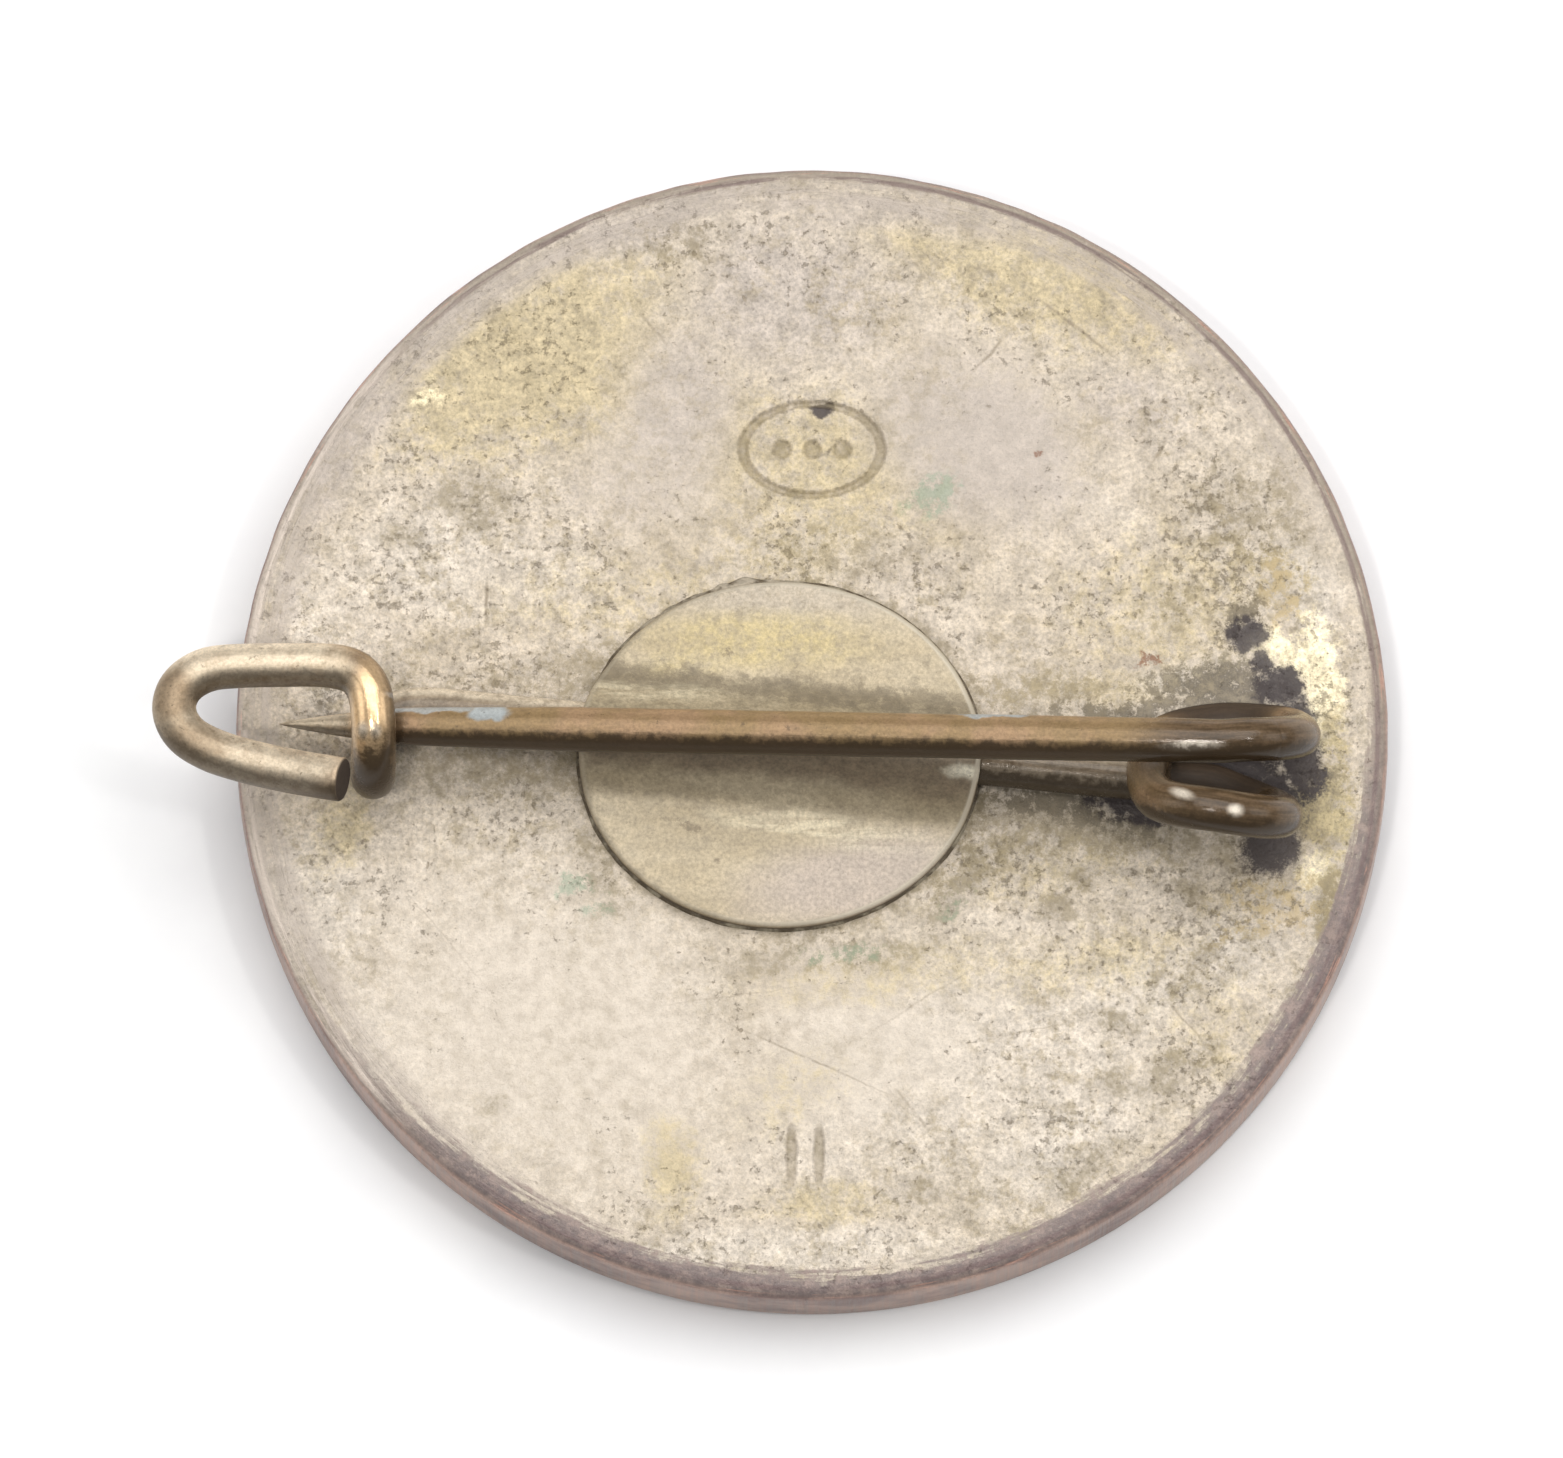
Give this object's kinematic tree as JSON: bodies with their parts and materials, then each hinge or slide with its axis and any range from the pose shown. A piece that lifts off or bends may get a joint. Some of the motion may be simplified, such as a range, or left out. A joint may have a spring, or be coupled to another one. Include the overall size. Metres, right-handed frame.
{
  "type": "button badge",
  "caption": "Round enamelled lapel badge with a one-piece wire safety pin, spring coil and bent catch on its back, held under a soldered retaining disc.",
  "frame": {"origin": "centre of the badge's front face, which is flat and lies on the surface under it", "axes": "+Z from the front face out of the back of the badge, +X along the pin towards its spring coil, +Y across the pin towards the badge's top as it is worn"},
  "size_m": [0.0245, 0.023, 0.0058],
  "materials": {
    "body_metal": "struck copper alloy, silvered on the back, the edge worn to brown copper",
    "ivory_enamel": "opaque fired enamel stoned flush and polished",
    "blue_enamel": "deep blue fired enamel stoned flush and polished",
    "silvered_sheet": "thin silvered sheet, tarnished",
    "solder": "dull grey soft solder with dirt in it",
    "pin_wire": "drawn bronze-coloured wire, brown with age, worn bright on the bends"
  },
  "bodies": {
    "badge": {"badge_body": "body_metal", "enamel_border": "ivory_enamel", "enamel_field": "blue_enamel", "enamel_centre": "ivory_enamel", "retaining_disc": "silvered_sheet", "solder_seam_upper": "solder", "solder_seam_lower": "solder", "pin_anchor": "pin_wire", "pin_coil": "pin_wire", "pin_catch": "pin_wire"},
    "needle": {"pin_needle": "pin_wire"}
  },
  "joints": [
    {"name": "needle_swing", "type": "hinge", "parent": "badge", "child": "needle", "pos_m": [0.0076, -0.00085, 0.00527], "axis": [0.9439, -0.0363, -0.3284], "range_deg": [0, 170]}
  ]
}
